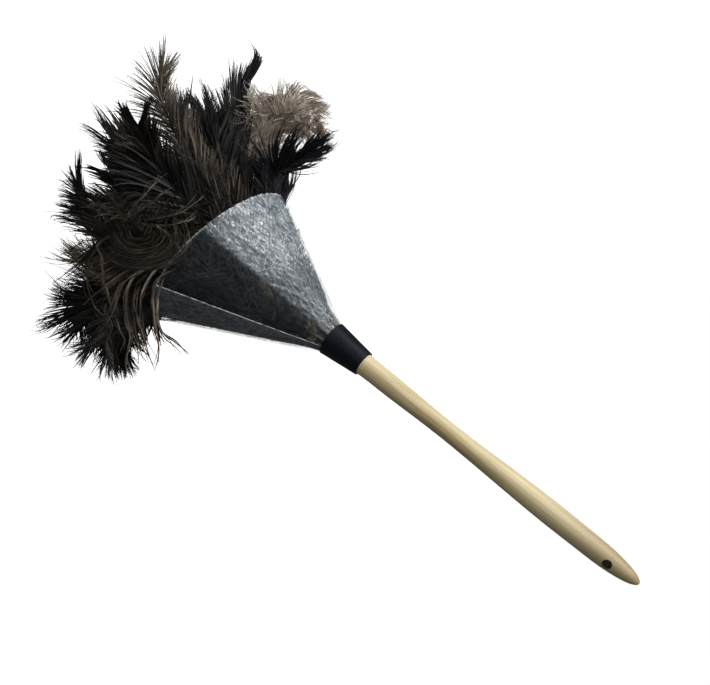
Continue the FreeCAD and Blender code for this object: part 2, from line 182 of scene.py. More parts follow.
def leaning_path(p, count):
    """A quill that leaves the collar at a lean and curls away from the axis."""
    s = np.linspace(0, 1, count)
    a = math.radians(p.azimuth)
    outward = np.array([math.cos(a), math.sin(a), 0.0])
    sideways = np.array([-math.sin(a), math.cos(a), 0.0])
    leave = GRIPPED / p.length
    bent = smooth(s, leave * LEAN_FROM, leave * LEAN_TO)
    curled = smooth(s, p.curl_from, CURL_END) / smooth(np.array(1.0), p.curl_from, CURL_END)
    tilt = np.radians(p.lean * bent + p.curl * curled)[:, None]
    lateral = np.radians(p.side * bent + p.sway * curled)[:, None]
    down = np.array([0.0, 0.0, -1.0])
    heading = down * np.cos(tilt) * np.cos(lateral) + outward * np.sin(tilt)
    heading = unit(heading + sideways * np.sin(lateral) * np.cos(tilt * 0.5))
    start = outward * p.ring + np.array([0.0, 0.0, ROOT_Z])
    steps = heading * (p.length / (count - 1))
    return start + np.vstack([np.zeros(3), np.cumsum(steps[:-1], axis=0)])


def spine(p, count=72):
    """Places along the quill from 0 to 1, and its points, headings and face directions there.
    A given path also sets the plume's length."""
    if p.path:
        points, p.length = curve_through(p.path, count)
    else:
        points = leaning_path(p, count)
    heading = unit(np.gradient(points, axis=0))
    a = math.radians(p.azimuth + p.turn)
    face = np.array([math.cos(a), math.sin(a), 0.0])
    faces = np.empty_like(points)
    for k in range(count):
        face = face - heading[k] * face.dot(heading[k])
        face /= np.linalg.norm(face)
        faces[k] = face
    return np.linspace(0, 1, count), points, heading, faces


def along(s, values, at):
    return np.stack([np.interp(at, s, values[:, k]) for k in range(3)], axis=-1)


def keep_clear(points, inside):
    """Keep what grows inside the film within it, and what grows outside clear of it."""
    radius = np.hypot(points[..., 0], points[..., 1])
    above = points[..., 2] > rim_height(points[..., 0])
    film = film_radius(points[..., 2])
    in_collar = points[..., 2] > MOUTH_Z - COLLAR_LIP
    inner = np.where(in_collar, COLLAR_BORE, film - UNDER_FILM)
    inner = np.maximum(inner, LEAST_ROOM)
    want = radius.copy()
    tight = inside & above & (radius > inner)
    want[tight] = inner[tight]
    loose = ~inside & above & (radius < film + OVER_FILM)
    want[loose] = film[loose] + OVER_FILM
    scale = want / np.maximum(radius, 1e-6)
    points[..., 0] *= scale
    points[..., 1] *= scale
    return points


def hold_in(points):
    """Bend far-flung tips back, so that the head keeps its size."""
    radius = np.hypot(points[..., 0], points[..., 1])
    over = np.maximum(radius - HEAD_EASE, 0)
    room = HEAD_RADIUS - HEAD_EASE
    scale = np.where(over > 0, (HEAD_EASE + room * np.tanh(over / room)) / radius, 1.0)
    points[..., 0] *= scale
    points[..., 1] *= scale
    under = np.maximum(HEAD_LOW_EASE - points[..., 2], 0)
    depth = HEAD_LOW_EASE - HEAD_LOW
    points[..., 2] = np.where(
        under > 0, HEAD_LOW_EASE - depth * np.tanh(under / depth), points[..., 2]
    )
    return points


LOCK_SIZE = (4, 11)         # barbs in a lock, from and below
LOCK_TONE = 0.09            # how far locks differ in tone
BARB_TONE = 0.10            # and single barbs


def draw_together(line, rng, amount):
    """Pull the tips of neighbouring barbs together into locks; returns a tone for each barb."""
    count, stations = line.shape[:2]
    ends = np.cumsum(rng.integers(*LOCK_SIZE, count))
    group = np.searchsorted(ends, np.arange(count), "right")
    sizes = np.bincount(group)
    middle = np.zeros((len(sizes), stations, 3))
    np.add.at(middle, group, line)
    middle /= np.maximum(sizes, 1)[:, None, None]
    u = np.linspace(0, 1, stations)[None, :, None]
    line += (middle[group] - line) * (amount * u ** 1.4)
    return rng.normal(0, LOCK_TONE, len(sizes))[group]


SHORTEST_BARB = 3 * MM
LONGEST_BARB = 1.5          # against the plume's own barb length
LONG_BARBS, LONG_FACTOR = 0.04, 1.35    # share of barbs that stick out, and by how much


def barb_reach(rng, q, longest):
    """Lengths of the barbs at places q from 0 to 1: short at the start, full, less at the tip."""
    reach = longest * np.minimum((q + 0.03) / 0.3, 1) ** 0.7
    reach *= 1 - 0.35 * smooth(q, 0.6, 1.0)
    reach *= 1 + rng.normal(0, 0.10, len(q)) + wander(rng, q, 14, 0.14)[:, 0]
    reach *= np.where(rng.uniform(0, 1, len(q)) < LONG_BARBS, LONG_FACTOR, 1.0)
    return np.clip(reach, SHORTEST_BARB, LONGEST_BARB * longest)


def barb_angle(p, rng, q):
    """Angles between the barbs and the quill, in radians."""
    angle = np.radians(p.angle[0] + (p.angle[1] - p.angle[0]) * q ** 1.6)
    return angle + np.radians(rng.normal(0, p.stray, len(q)) + wander(rng, q, 10, 7)[:, 0])


PULL_STEP = 1.6             # how fast pulls bend a barb, along its whole length
LATE_FRIZZ = 1.6            # frizz of the outer half against the inner half


def barb_lines(p, rng, steps=9):
    """Centre lines of one plume's barbs, (barbs, steps + 1, 3), the directions across them,
    a tone for each, and the quill's own places, points, headings and faces."""
    s, points, heading, faces = spine(p)
    count = int(p.length * (1 - p.vane) / (p.spacing * MM))
    lines, widths, marks, lock_tones = [], [], [], []
    for number, sign in enumerate((-1, 1)):
        q = (np.arange(count) + rng.uniform(-0.45, 0.45, count)) / (count - 1)
        q = np.clip(q, 0, 1)
        at = p.vane + (1 - p.vane) * q * 0.995
        forward = unit(along(s, heading, at))
        face = unit(along(s, faces, at))
        # barbs grow from behind the quill, and droop less towards its tip
        base = along(s, points, at) - face * (0.5 * p.quill * MM)
        droop = HANG * (p.hang[number] * (1.35 - q))[:, None]
        side = unit(np.cross(forward, face)) * sign
        reach = barb_reach(rng, q, p.barb[number])
        angle = barb_angle(p, rng, q)
        early = wander(rng, q, 16, p.frizz) + rng.normal(0, p.frizz * 0.35, (count, 3))
        late = wander(rng, q, 22, p.frizz * LATE_FRIZZ)
        late = late + rng.normal(0, p.frizz * 0.7, (count, 3))
        direction = unit(
            forward * np.cos(angle)[:, None]
            + side * np.sin(angle)[:, None]
            + face * rng.normal(0.05, 0.16, count)[:, None]
        )
        line = np.empty((count, steps + 1, 3))
        across = np.empty((count, steps + 1, 3))
        line[:, 0] = base
        twist = rng.uniform(-0.9, 0.9, count)[:, None]
        hook = p.hook * (0.6 + wander(rng, q, 12, 0.9)[:, :1])
        for k in range(steps + 1):
            flat = unit(np.cross(direction, face))
            across[:, k] = unit(flat * np.cos(twist) + np.cross(direction, flat) * np.sin(twist))
            if k == steps:
                break
            u = (k + 0.5) / steps
            pull = forward * p.forward * (1 - u * 0.5) + droop * u * 1.6
            pull = pull + early * (1 - u) + late * u * u + side * hook * u * u
            direction = unit(direction + pull * (PULL_STEP / steps))
            line[:, k + 1] = line[:, k] + direction * (reach / steps)[:, None]
        lock_tones.append(draw_together(line, rng, p.lock))
        lines.append(line)
        widths.append(across)
        marks.append(q)
    line = np.concatenate(lines)
    inside = np.repeat(
        (line[:, 0, 2] > rim_height(line[:, 0, 0]))[:, None], steps + 1, axis=1
    )
    line = hold_in(keep_clear(line, inside))
    q = np.concatenate(marks)
    tone = p.tone + wander(rng, q, 18, 0.12)[:, 0] + rng.normal(0, BARB_TONE, len(q))
    tone += np.concatenate(lock_tones) + p.pale * (1 - smooth(q, 0.0, 0.22))
    return line, np.concatenate(widths), tone, (s, points, heading, faces)


class Parts:
    """Vertices, faces, tones and bake coordinates of one mesh as it grows."""

    def __init__(self):
        self.verts, self.quads, self.tris, self.tones, self.maps = [], [], [], [], []
        self.total = 0

    def add(self, verts, faces, tones, uv):
        faces = np.asarray(faces)
        (self.quads if faces.shape[-1] == 4 else self.tris).append(faces + self.total)
        self.verts.append(verts.reshape(-1, 3))
        self.tones.append(tones.ravel())
        self.maps.append(uv.reshape(-1, 2))
        self.total += len(self.verts[-1])


def tip_glow(u):
    """How much paler a barb is at a share of its length."""
    return 0.16 * u ** 1.5


def add_ribbons(parts, line, across, half, tone, rows, slack):
    """Flat strips along centre lines, each on a row of its own in the bake."""
    count, stations = line.shape[:2]
    u = np.linspace(0, 1, stations)
    edges = np.stack([line - across * half, line + across * half], axis=2)
    index = np.arange(count * stations * 2).reshape(count, stations, 2)
    quads = np.stack(
        [index[:, :-1, 0], index[:, 1:, 0], index[:, 1:, 1], index[:, :-1, 1]], axis=-1
    ).reshape(-1, 4)
    shade = tone[:, None] + tip_glow(u[None, :])
    uv = np.empty((count, stations, 2, 2))
    uv[..., 0] = BAKE_EDGE + BAKE_SPAN * u[None, :, None]
    uv[..., 1] = np.stack([rows - slack, rows + slack], axis=-1)[:, None, :]
    parts.add(edges, quads, np.repeat(shade[:, :, None], 2, axis=2), uv)


FEWEST_BARBULES = 8         # on each side of a barb
BARBULE_FOOT = 0.30 * MM    # length along the barb that one grows from
BARBULE_PALER = 0.04        # how much paler they are than their barb


def add_barbules(parts, p, rng, line, across, tone, rows, slack):
    """The fine fringe on both sides of each barb, one triangle each."""
    barbs, stations = line.shape[:2]
    lengths = np.linalg.norm(np.diff(line, axis=1), axis=2).sum(axis=1)
    per_side = max(int(lengths.mean() / (p.fringe_step * MM)), FEWEST_BARBULES)
    which = np.arange(barbs)[:, None]
    for sign in (-1, 1):
        w = (np.arange(per_side)[None, :] + rng.uniform(0, 1, (barbs, per_side))) / per_side
        at = w * (stations - 1) * 0.999
        low = at.astype(int)
        f = (at - low)[..., None]
        foot = line[which, low] * (1 - f) + line[which, low + 1] * f
        way = unit(line[which, low + 1] - line[which, low])
        wide = unit(across[which, low] * (1 - f) + across[which, low + 1] * f) * sign
        up = np.cross(way, wide)
        size = p.fringe * MM * (1 - 0.45 * w) * rng.uniform(0.6, 1.15, w.shape)
        lean = rng.normal(0.9, 0.18, w.shape)[..., None]
        direction = unit(way * lean + wide + up * rng.normal(0, 0.45, w.shape)[..., None])
        tip = foot + direction * size[..., None]
        corners = np.stack([foot, foot + way * BARBULE_FOOT, tip], axis=2)
        shade = tone[:, None] + tip_glow(w) + BARBULE_PALER
        uv = np.empty(w.shape + (3, 2))
        uv[..., 0] = BAKE_EDGE + BAKE_SPAN * w[..., None]
        uv[..., 1] = np.stack([rows - slack, rows + slack, rows], axis=-1)[:, None, :]
        faces = np.arange(barbs * per_side * 3).reshape(-1, 3)
        parts.add(corners, faces, np.repeat(shade[..., None], 3, axis=2), uv)


QUILL_TAPER, QUILL_TIP = 1.15, 0.16  # millimetres of radius: lost by the tip, and kept there
QUILL_FLATNESS = 0.8        # its depth against its width


def add_quill(parts, p, s, points, heading, faces, sides=6):
    """The quill as a closed, slightly flattened rod, pale near the collar."""
    radius = (QUILL_TAPER * (1 - s) ** 0.8 + QUILL_TIP) * p.quill * MM
    other = np.cross(heading, faces)
    turn = np.linspace(0, 2 * np.pi, sides, endpoint=False)
    deep = np.cos(turn)[None, :, None] * radius[:, None, None] * QUILL_FLATNESS
    wide = np.sin(turn)[None, :, None] * radius[:, None, None]
    ring = points[:, None] + faces[:, None] * deep + other[:, None] * wide
    index = np.arange(len(s) * sides).reshape(len(s), sides)
    after = np.roll(index, -1, axis=1)
    quads = np.stack([index[:-1], index[1:], after[1:], after[:-1]], axis=-1).reshape(-1, 4)
    tone = np.repeat((p.tone * 0.2 + 0.55 * (1 - smooth(s, 0.2, 0.62)))[:, None], sides, 1)
    over_a_turn = 7     # radians
    v = np.tile(QUILL_ROW + QUILL_HEIGHT * turn / over_a_turn, (len(s), 1))
    uv = np.stack([np.repeat(s[:, None], sides, 1), v], axis=-1)
    parts.add(ring, quads, tone, uv)
    fan = [[k, (k + 1) % sides, sides] for k in range(sides)]
    for end in (-1, 0):
        tip = points[end] + heading[end] * (MM if end else -MM)
        rim = ring[end] if end else ring[end][::-1]
        parts.add(
            np.vstack([rim, tip]), fan, np.full(sides + 1, tone[end, 0]),
            np.tile([1 - BAKE_EDGE if end else BAKE_EDGE, QUILL_CAP_ROW], (sides + 1, 1)),
        )


def plume_mesh(p, seed):
    """One whole plume: its barbs, their barbules and its quill."""
    rng = np.random.default_rng(seed)
    line, across, tone, (s, points, heading, faces) = barb_lines(p, rng)
    barbs, stations = line.shape[:2]
    parts = Parts()
    rows = (np.arange(barbs) + 0.5) / barbs * BARB_ROWS
    slack = 0.25 / barbs
    u = np.linspace(0, 1, stations)
    half = ((p.width * MM / 2) * (1 - u ** 2.2 * 0.85))[None, :, None]
    add_ribbons(parts, line, across, half, tone, rows, slack)
    add_barbules(parts, p, rng, line, across, tone, rows, slack)
    add_quill(parts, p, s, points, heading, faces)
    return build(p.node.replace("feather_", "plume_"), parts)


def build(name, parts):
    """Make an object of the gathered parts, turned into the frame's own axes."""
    verts = turned(np.concatenate(parts.verts))
    quads = np.concatenate(parts.quads) if parts.quads else np.empty((0, 4), int)
    tris = np.concatenate(parts.tris) if parts.tris else np.empty((0, 3), int)
    loops = np.concatenate([quads.ravel(), tris.ravel()])
    starts = np.concatenate([
        np.arange(len(quads)) * 4, len(quads) * 4 + np.arange(len(tris)) * 3
    ])
    mesh = bpy.data.meshes.new(name)
    mesh.vertices.add(len(verts))
    mesh.vertices.foreach_set("co", verts.astype(np.float32).ravel())
    mesh.loops.add(len(loops))
    mesh.loops.foreach_set("vertex_index", loops.astype(np.int32))
    mesh.polygons.add(len(starts))
    mesh.polygons.foreach_set("loop_start", starts.astype(np.int32))
    mesh.polygons.foreach_set("use_smooth", np.ones(len(starts), bool))
    mesh.update(calc_edges=True)
    tone = mesh.attributes.new("tone", "FLOAT", "POINT")
    tone.data.foreach_set("value", np.concatenate(parts.tones).astype(np.float32))
    layer = mesh.uv_layers.new(name=BAKE_UV)
    layer.data.foreach_set("uv", np.concatenate(parts.maps)[loops].astype(np.float32).ravel())
    mesh.validate()
    obj = bpy.data.objects.new(name, mesh)
    bpy.context.scene.collection.objects.link(obj)
    return obj


# ---- materials
def new_material(name):
    mat = bpy.data.materials.new(name)
    mat.use_nodes = True
    nodes = mat.node_tree.nodes
    return mat, nodes, mat.node_tree.links, nodes["Principled BSDF"]


def ramp(nodes, links, value, stops):
    """The colour for a value, between stops of a place and a colour each."""
    node = nodes.new("ShaderNodeValToRGB")
    elements = node.color_ramp.elements
    while len(elements) < len(stops):
        elements.new(0.5)
    for element, (at, colour) in zip(elements, stops):
        element.position = at
        element.color = (*colour, 1)
    links.new(value, node.inputs["Fac"])
    return node.outputs["Color"]


def object_noise(nodes, links, scale, detail, stretch=(1, 1, 1), distortion=0.0):
    coords = nodes.new("ShaderNodeTexCoord")
    mapping = nodes.new("ShaderNodeMapping")
    mapping.inputs["Scale"].default_value = stretch
    links.new(coords.outputs["Object"], mapping.inputs["Vector"])
    noise = nodes.new("ShaderNodeTexNoise")
    noise.inputs["Scale"].default_value = scale
    noise.inputs["Detail"].default_value = detail
    noise.inputs["Distortion"].default_value = distortion
    links.new(mapping.outputs["Vector"], noise.inputs["Vector"])
    return noise.outputs["Fac"]


def add_bump(nodes, links, shader, height, strength, distance):
    bump = nodes.new("ShaderNodeBump")
    bump.inputs["Strength"].default_value = strength
    bump.inputs["Distance"].default_value = distance
    links.new(height, bump.inputs["Height"])
    links.new(bump.outputs["Normal"], shader.inputs["Normal"])


def feed(links, socket, value):
    """Give a socket a constant or another node's output."""
    if isinstance(value, bpy.types.NodeSocket):
        links.new(value, socket)
    else:
        socket.default_value = value


def operate(nodes, links, operation, *values, kind="ShaderNodeMath"):
    node = nodes.new(kind)
    node.operation = operation
    for socket, value in zip(node.inputs, values):
        feed(links, socket, value)
    return node


def tone_attribute(nodes):
    node = nodes.new("ShaderNodeAttribute")
    node.attribute_name = "tone"
    return node.outputs["Fac"]


def feather_material(name, dark, middle, light):
    """Barbs shaded by their tone, with a mottle of half that strength."""
    mat, nodes, links, shader = new_material(name)
    noise = object_noise(nodes, links, 60, 4)
    mottled = operate(nodes, links, "MULTIPLY_ADD", noise, 0.5, tone_attribute(nodes))
    stops = [(0.30, dark), (0.68, middle), (1.0, light)]
    links.new(ramp(nodes, links, mottled.outputs[0], stops), shader.inputs["Base Color"])
    shader.inputs["Roughness"].default_value = 0.55
    shader.inputs["Specular IOR Level"].default_value = 0.3
    return mat


# The darkest, middle and palest shade of each kind of feather.
FEATHER_SHADES = {
    "feather_dark": ((0.0035, 0.003, 0.003), (0.014, 0.011, 0.009), (0.085, 0.066, 0.048)),
    "feather_blue_black": ((0.003, 0.003, 0.005), (0.009, 0.009, 0.014), (0.05, 0.05, 0.06)),
    "feather_brown": ((0.006, 0.0045, 0.0035), (0.028, 0.021, 0.015), (0.16, 0.125, 0.09)),
    "feather_tan": ((0.045, 0.034, 0.026), (0.28, 0.22, 0.175), (0.56, 0.48, 0.40)),
    "feather_olive": ((0.008, 0.007, 0.004), (0.045, 0.038, 0.022), (0.22, 0.19, 0.13)),
}
FEATHERS = {name: feather_material(name, *shades) for name, shades in FEATHER_SHADES.items()}

# ---- plumes in their rings
RING_STYLE = {
    "core": dict(
        ring=4.6 * MM, lean=4, length=0.262, curl=16, width=2.4, fringe_step=1.8, tone=0.12,
    ),
    "inner": dict(
        ring=6.5 * MM, lean=11, length=0.256, curl=30, width=2.2, fringe_step=1.8, tone=0.16,
    ),
    "middle": dict(
        ring=8.5 * MM, lean=18, length=0.246, curl=60, width=1.8, fringe_step=1.6, tone=0.18,
    ),
    "outer": dict(
        ring=10.4 * MM, lean=22, length=0.226, curl=84, curl_from=0.44, fringe_step=1.4,
        tone=0.24, width=1.2, hang=(-0.2, -0.2),
    ),
}
RING_COUNT = {"core": 5, "inner": 8, "middle": 10, "outer": 12}
# How far one plume may differ from its ring: degrees, shares of length and curl, and tone.
VARIATION = {
    "azimuth": (-6, 6), "length": (-0.05, 0.04), "curl": (-0.15, 0.15), "side": (-3, 3),
    "sway": (-14, 14), "turn": (-25, 25), "tone": (-0.06, 0.10),
}

# Styles that listed plumes share.
TAN_CURL = dict(lock=0.0, colour="feather_tan", fringe=1.6, width=0.7, hook=1.2)
BUSHY = dict(frizz=0.6, tone=0.04, angle=(70, 50), width=1.6, lock=0.15, pale=0.0)

# The plumes that set the look of the front, each given its place one by one.
SPECIAL = {
    # the tall open plume in front that shows its quill and bends to the right
    "feather_outer_09": dict(
        azimuth=270, barb=(0.046, 0.036), hang=(0.9, -0.25), angle=(72, 20), forward=0.38,
        frizz=0.13, lock=0.04, stray=13, tone=0.52, spacing=0.6, fringe_step=0.8,
        colour="feather_brown", hook=0.1, quill=1.6, pale=0.1,
        path=((0, -10, -257), (-2, -12, -280), (-13, -28, -340), (-25, -44, -403),
              (-37, -56, -440), (-54, -66, -472), (-66, -72, -493), (-75, -74, -501),
              (-86, -78, -505)),
    ),
    # dark plumes behind it to the right: one that fills the gap, and a tall one drawn to a
    # point with another behind it
    "feather_outer_08": dict(
        azimuth=240, barb=(0.056, 0.050), hang=(-0.3, -0.3), angle=(55, 20), forward=0.5,
        tone=-0.02, spacing=0.5, width=1.4, hook=0.2, pale=0.0, lock=0.15,
        path=((-4, -10, -257), (-6, -11, -280), (-22, -24, -345), (-39, -36, -402),
              (-60, -38, -440), (-72, -37, -458), (-80, -36, -470)),
    ),
    "feather_outer_07": dict(
        azimuth=222, barb=(0.052, 0.046), hang=(-0.35, -0.35), angle=(52, 16), forward=0.6,
        tone=0.0, lock=0.3, frizz=0.2, spacing=0.5, width=1.3, hook=0.1, pale=0.0,
        path=((-9, -5, -257), (-11, -6, -280), (-30, -11, -345), (-53, -15, -408),
              (-74, -18, -440), (-94, -12, -461), (-114, -8, -474), (-132, -6, -479)),
    ),
    "feather_middle_07": dict(length=0.216, curl=30, tone=0.0, pale=0.0, width=1.8),
    # the pale curly plume that curls right over, and the ones that fill it
    "feather_outer_06": dict(
        TAN_CURL, azimuth=225, barb=(0.025, 0.025), hang=(0.2, 0.2), angle=(80, 66), frizz=1.5,
        tone=0.82, spacing=0.30, vane=0.55,
        path=((-10, 0, -257), (-13, 0, -280), (-36, 2, -345), (-62, 4, -405), (-84, 4, -431),
              (-109, 2, -451), (-130, 0, -451), (-142, -4, -428), (-139, -8, -405),
              (-125, -10, -393)),
    ),
    "feather_middle_05": dict(
        TAN_CURL, azimuth=250, barb=(0.031, 0.029), hang=(0.0, 0.0), angle=(80, 66), frizz=1.4,
        tone=0.74, spacing=0.22, vane=0.66,
        path=((-7, 4, -257), (-9, 4, -280), (-32, 8, -345), (-66, 6, -410), (-95, -6, -429),
              (-115, -14, -433), (-127, -18, -420), (-124, -20, -405)),
    ),
    "feather_middle_06": dict(
        TAN_CURL, azimuth=240, barb=(0.030, 0.027), hang=(0.0, 0.0), angle=(84, 70), frizz=1.5,
        tone=0.70, spacing=0.26, vane=0.66,
        path=((-8, 1, -257), (-10, 1, -280), (-34, 4, -345), (-64, 2, -408), (-92, -2, -430),
              (-114, -6, -432), (-128, -8, -418), (-126, -10, -404)),
    ),
    # the dark plume below it, whose barbs spray to the right
    "feather_outer_05": dict(
        azimuth=160, turn=60, barb=(0.038, 0.036), hang=(-0.4, -0.4), frizz=0.45, lock=0.2,
        angle=(54, 24), tone=0.02, pale=0.0, vane=0.5, spacing=0.3, width=1.5,
        colour="feather_blue_black",
        path=((-9, 5, -257), (-11, 6, -280), (-36, 4, -345), (-71, -16, -395),
              (-89, -20, -393), (-100, -22, -388), (-111, -22, -386)),
    ),
    # the plume that turns to the front, with arcs above its quill and long strands below
    "feather_outer_10": dict(
        azimuth=290, barb=(0.056, 0.088), hang=(0.2, 2.1), angle=(70, 46), forward=0.2,
        frizz=0.12, lock=0.4, tone=0.30, spacing=0.6, width=1.1, hook=0.2,
        colour="feather_brown",
        path=((4, -10, -257), (5, -11, -280), (15, -28, -340), (28, -50, -403),
              (31, -72, -414), (36, -88, -427), (42, -98, -437), (51, -104, -441)),
    ),
    # the black bush at the far end: two plumes in front and three that fill it
    "feather_outer_12": dict(
        azimuth=330, barb=(0.048, 0.048), hang=(0.2, 0.2), frizz=0.85, lock=0.12, tone=0.06,
        colour="feather_blue_black", angle=(70, 50), spacing=0.3, width=1.2, hook=1.0, pale=0.0,
        path=((10, -3, -257), (12, -3, -280), (36, -8, -345), (62, -10, -410),
              (75, -10, -440), (90, -10, -462), (108, -10, -470), (122, -12, -464)),
    ),
    "feather_outer_11": dict(
        azimuth=310, barb=(0.054, 0.054), hang=(0.4, 0.4), frizz=0.6, lock=0.2, tone=0.08,
        angle=(66, 44), spacing=0.36, width=1.2, hook=0.8, pale=0.0,
        path=((8, -7, -257), (10, -8, -280), (33, -22, -335), (61, -30, -394),
              (82, -35, -412), (102, -38, -420), (118, -40, -414)),
    ),
    "feather_outer_01": dict(
        azimuth=20, turn=-60, barb=(0.034, 0.030), hang=(-0.1, -0.1), frizz=0.6, lock=0.2,
        tone=0.06, vane=0.78, spacing=0.25, width=1.4, pale=0.0,
        path=((10, 3, -257), (13, 4, -280), (38, 10, -340), (70, 18, -400),
              (96, 24, -432), (116, 26, -438), (128, 26, -428)),
    ),
    "feather_middle_10": dict(
        BUSHY, azimuth=320, turn=-20, spacing=0.4,
        path=((7, -4, -257), (9, -5, -280), (32, -12, -340), (58, -16, -400),
              (82, -20, -436), (100, -22, -448), (116, -22, -444)),
    ),
    "feather_middle_02": dict(
        BUSHY, azimuth=330, spacing=0.3, hang=(-0.1, -0.1), barb=(0.030, 0.026), vane=0.74,
        path=((8, 3, -257), (10, 4, -280), (34, 8, -340), (60, 10, -398),
              (86, 12, -428), (104, 12, -434), (116, 12, -430)),
    ),
    # kept behind the bush
    "feather_outer_02": dict(length=0.205, lean=18, curl=36, hang=(-0.6, -0.6), width=1.2),
    # olive down showing over the bush, and a dark plume behind it
    "feather_middle_01": dict(
        azimuth=300, barb=(0.046, 0.046), hang=(-0.3, -0.3), frizz=0.7, tone=0.95, lock=0.1,
        colour="feather_olive", spacing=0.5,
        path=((8, -2, -257), (9, -2, -280), (30, -10, -345), (52, -20, -400),
              (63, -30, -440), (71, -36, -464), (79, -40, -480)),
    ),
    "feather_inner_02": dict(
        azimuth=300, barb=(0.044, 0.044), frizz=0.4, tone=0.16, spacing=0.6, width=1.6,
        path=((5, 3, -257), (7, 3, -280), (22, 6, -345), (42, 8, -424),
              (60, 10, -462), (76, 10, -484)),
    ),
    # blue-black tufts and the long dark arcs between them and the tall open plume
    "feather_inner_07": dict(length=0.225, curl=14, tone=0.05, width=2.0),
    "feather_inner_01": dict(
        azimuth=300, barb=(0.046, 0.046), hang=(-0.35, -0.35), lock=0.35, frizz=0.26, tone=0.12,
        angle=(50, 18), colour="feather_blue_black", spacing=0.55, width=1.3,
        path=((6, -2, -257), (8, -3, -280), (24, -10, -345), (44, -15, -420),
              (48, -18, -471), (47, -20, -499), (41, -20, -521), (31, -20, -538)),
    ),
    "feather_inner_08": dict(
        azimuth=280, barb=(0.056, 0.056), hang=(-0.4, -0.4), lock=0.4, frizz=0.18, tone=0.24,
        angle=(58, 28), spacing=0.55, width=1.1, hook=0.2,
        path=((4, -5, -257), (5, -6, -280), (14, -14, -345), (23, -22, -430),
              (12, -24, -468), (0, -24, -494), (-14, -22, -512)),
    ),
    "feather_middle_09": dict(
        azimuth=285, barb=(0.056, 0.056), hang=(0.5, -0.3), lock=0.4, frizz=0.2, tone=0.2,
        spacing=0.6, width=1.1,
        path=((3, -8, -257), (4, -9, -280), (8, -22, -345), (12, -36, -440),
              (-3, -45, -472), (-11, -50, -495), (-14, -52, -512)),
    ),
}


def all_plumes():
    """Every plume in ring order: a ring's style, varied at random, or a place given one by one.
    """
    rng = np.random.default_rng(SEED)
    plumes = []
    for number, (ring, count) in enumerate(RING_COUNT.items()):
        for k in range(count):
            node = "feather_%s_%02d" % (ring, k + 1)
            drawn = {name: rng.uniform(*span) for name, span in VARIATION.items()}
            values = dict(RING_STYLE[ring])
            values["azimuth"] = 360 / count * (k + 0.5 * (number % 2)) + drawn["azimuth"]
            values["length"] *= 1 + drawn["length"]
            values["curl"] *= 1 + drawn["curl"]
            values["tone"] += drawn["tone"]
            values.update({name: drawn[name] for name in ("side", "sway", "turn")})
            if node in SPECIAL:
                values.update(turn=0, width=0.9)
                values.update(SPECIAL[node])
            plumes.append(Plume(node=node, **values))
    return plumes


def grow_feathers():
    for number, plume in enumerate(all_plumes()):
        obj = plume_mesh(plume, SEED + 7 * number)
        obj.data.materials.append(FEATHERS[plume.colour])
        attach(obj, "root")
        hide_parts(plume.node)


# Long barbs that have come loose and lie across the front: points in millimetres, and widths.
LOOSE_STRANDS = (
    (((24, -112, -430), (11, -112, -431), (-3, -108, -431), (-17, -100, -436)), 1.3),
    (((22, -112, -426), (-1, -106, -424), (-15, -98, -423)), 1.2),
    (((22, -112, -428), (12, -110, -413), (-2, -100, -405), (-14, -90, -404),
      (-25, -80, -406)), 1.4),
    (((24, -112, -426), (19, -112, -415), (10, -105, -403), (-3, -95, -397),
      (-14, -85, -399)), 1.5),
    (((14, -112, -406), (14, -108, -398), (17, -95, -385)), 1.9),
    (((44, -112, -432), (53, -112, -434), (59, -112, -426), (69, -110, -416),
      (77, -106, -407), (84, -100, -399)), 1.9),
    (((48, -110, -436), (60, -105, -450), (73, -95, -459), (82, -85, -469)), 1.2),
    (((54, -112, -433), (68, -108, -433), (82, -102, -426), (91, -98, -412),
      (94, -96, -402)), 1.4),
    (((28, -56, -400), (42, -80, -399), (57, -92, -392), (71, -98, -381), (83, -98, -369),
      (94, -92, -355), (99, -88, -347)), 2.2),
    (((34, -60, -403), (49, -84, -407), (66, -95, -400), (79, -100, -387), (92, -100, -372),
      (106, -96, -365), (115, -92, -354)), 2.4),
    (((33, -56, -399), (50, -72, -397), (60, -82, -386), (70, -88, -372), (79, -88, -361),
      (88, -84, -354), (98, -82, -349)), 2.0),
    (((45, -60, -400), (56, -66, -392), (68, -70, -381), (76, -76, -365), (76, -76, -353),
      (78, -72, -338)), 2.6),
    (((28, -54, -404), (45, -80, -405), (62, -98, -404), (79, -104, -396), (93, -104, -392),
      (106, -100, -395)), 1.8),
    (((51, -60, -418), (66, -85, -406), (79, -98, -390), (90, -98, -374), (97, -96, -361),
      (100, -92, -352)), 1.6),
    (((60, -60, -426), (72, -88, -410), (83, -100, -397), (92, -100, -384), (97, -98, -375),
      (106, -94, -374)), 1.5),
    (((46, -58, -413), (58, -82, -403), (72, -94, -388), (84, -96, -372), (93, -92, -361),
      (99, -88, -353)), 1.7),
    (((65, -62, -426), (79, -88, -411), (90, -100, -402), (98, -100, -388), (109, -96, -385),
      (115, -92, -376)), 1.4),
)


def flat_to_camera(line, rng):
    """Directions across a strand whose flat mostly faces the front, but twists a little."""
    heading = unit(np.gradient(line, axis=0))
    twist = wander(rng, np.linspace(0, 1, len(line)), 5, 0.5)
    return unit(np.cross(heading, np.array([0.0, -1.0, 0.3]) + twist))[None]


ARC_CENTRE = np.array([28, -90, -422]) * MM
ARC_RIGHT = np.array([-0.621, 0.203, 0.757])    # the picture's right and up
ARC_UP = np.array([-0.784, -0.161, -0.600])
ARC_INNER, ARC_GROWTH = 5, 27                   # millimetres of radius
ARC_START, ARC_STOP = 160, 372                  # degrees
ARC_WIDE, ARC_HIGH = 1.25, 0.85                 # the ovals' proportions


